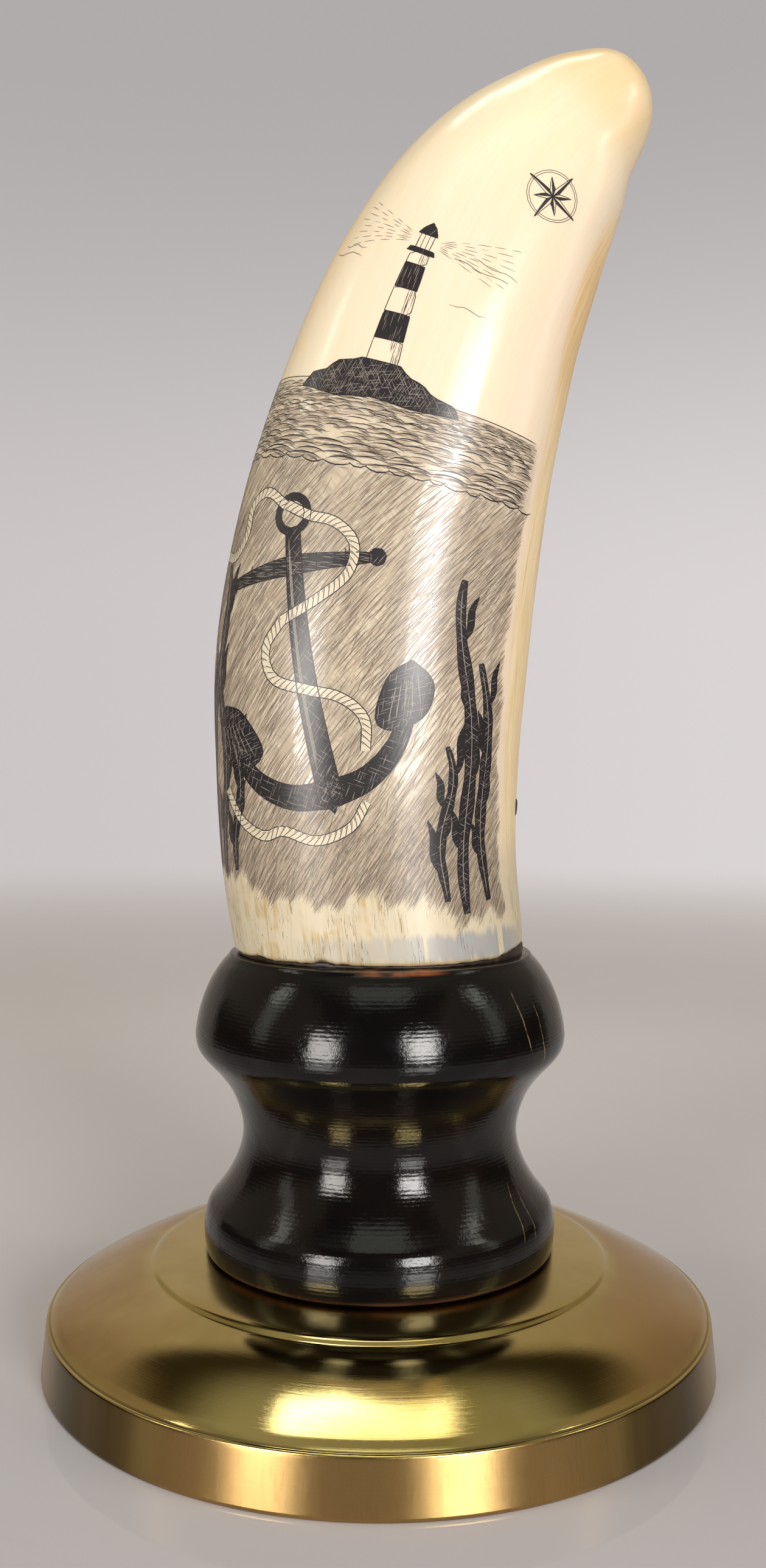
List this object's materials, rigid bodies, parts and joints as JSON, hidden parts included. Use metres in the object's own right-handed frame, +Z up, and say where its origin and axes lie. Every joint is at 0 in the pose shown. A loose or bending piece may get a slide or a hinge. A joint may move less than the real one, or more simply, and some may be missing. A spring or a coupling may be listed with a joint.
{
  "type": "scrimshaw whale tooth",
  "caption": "Curved tooth with a polished, engraved front, set upright on a turned black wood stand with a round brass foot, shown as a display piece.",
  "frame": {"origin": "centre of the brass foot's flat underside", "axes": "+Z up out of the foot towards the tooth's tip, -Y out of the engraved front, +X the way the tip leans"},
  "size_m": [0.108, 0.108, 0.21],
  "materials": {
    "aged_brass": "polished and turned, aged to olive gold with pinkish tarnish on the shoulder",
    "black_lacquered_wood": "turned and ebonised, satin, worn to red-brown on its edges",
    "polished_ivory": "polished cream ivory with an inked engraving, rough and yellowed at the root and back"
  },
  "bodies": {
    "root": {"brass_base": "aged_brass", "wood_stand": "black_lacquered_wood", "ivory_tooth": "polished_ivory"}
  },
  "joints": []
}
